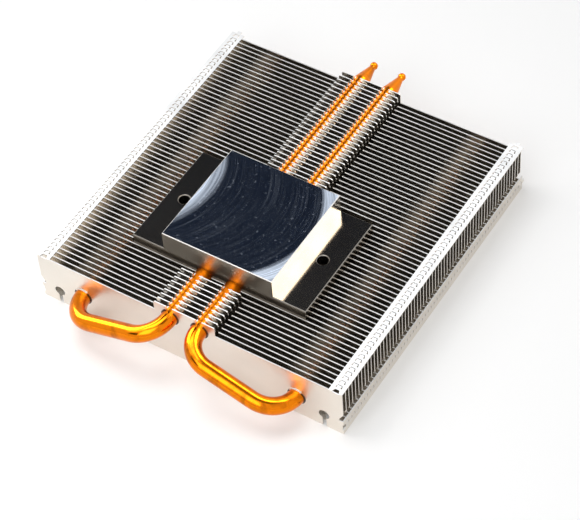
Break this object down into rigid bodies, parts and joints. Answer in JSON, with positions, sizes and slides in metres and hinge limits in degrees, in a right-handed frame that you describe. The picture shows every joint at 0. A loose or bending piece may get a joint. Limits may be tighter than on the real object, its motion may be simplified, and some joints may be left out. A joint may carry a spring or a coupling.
{
  "type": "heat sink",
  "caption": "Fin-stack heat sink with a stepped flat contact base and U-shaped heat pipes through zipped sheet fins.",
  "frame": {"origin": "centre of the flat contact face on top of the base block", "axes": "+Z out of the contact face, away from the fins; X along the fins; +Y across the fins, from the pipe bends towards the crimped pipe ends"},
  "size_m": [0.1194, 0.1465, 0.0328],
  "materials": {
    "fins": "bright rolled sheet, satin",
    "base": "nickel plated copper, contact face turned and polished",
    "pipes": "polished bare copper tube"
  },
  "bodies": {
    "root": {"base": "base", "heat_pipe_left": "pipes", "heat_pipe_right": "pipes", "fin_01": "fins", "fin_02": "fins", "fin_03": "fins", "fin_04": "fins", "fin_05": "fins", "fin_06": "fins", "fin_07": "fins", "fin_08": "fins", "fin_09": "fins", "fin_10": "fins", "fin_11": "fins", "fin_12": "fins", "fin_13": "fins", "fin_14": "fins", "fin_15": "fins", "fin_16": "fins", "fin_17": "fins", "fin_18_19": "fins", "fin_20_21": "fins", "fin_22_23": "fins", "fin_24_25": "fins", "fin_26": "fins", "fin_27": "fins", "fin_28": "fins", "fin_29": "fins", "fin_30": "fins", "fin_31": "fins", "fin_32": "fins", "fin_33": "fins", "fin_34": "fins", "fin_35": "fins", "fin_36": "fins", "fin_37": "fins", "fin_38": "fins", "fin_39": "fins", "fin_40": "fins", "fin_41": "fins", "fin_42": "fins", "fin_43": "fins", "fin_44": "fins", "fin_45": "fins", "fin_46": "fins", "fin_47": "fins", "fin_48": "fins", "fin_49": "fins", "fin_50": "fins", "fin_51": "fins", "fin_52": "fins", "fin_53": "fins", "fin_54": "fins", "fin_55": "fins", "fin_56": "fins", "fin_57": "fins", "fin_58": "fins", "fin_59": "fins", "fin_60": "fins", "fin_61": "fins"}
  },
  "joints": []
}
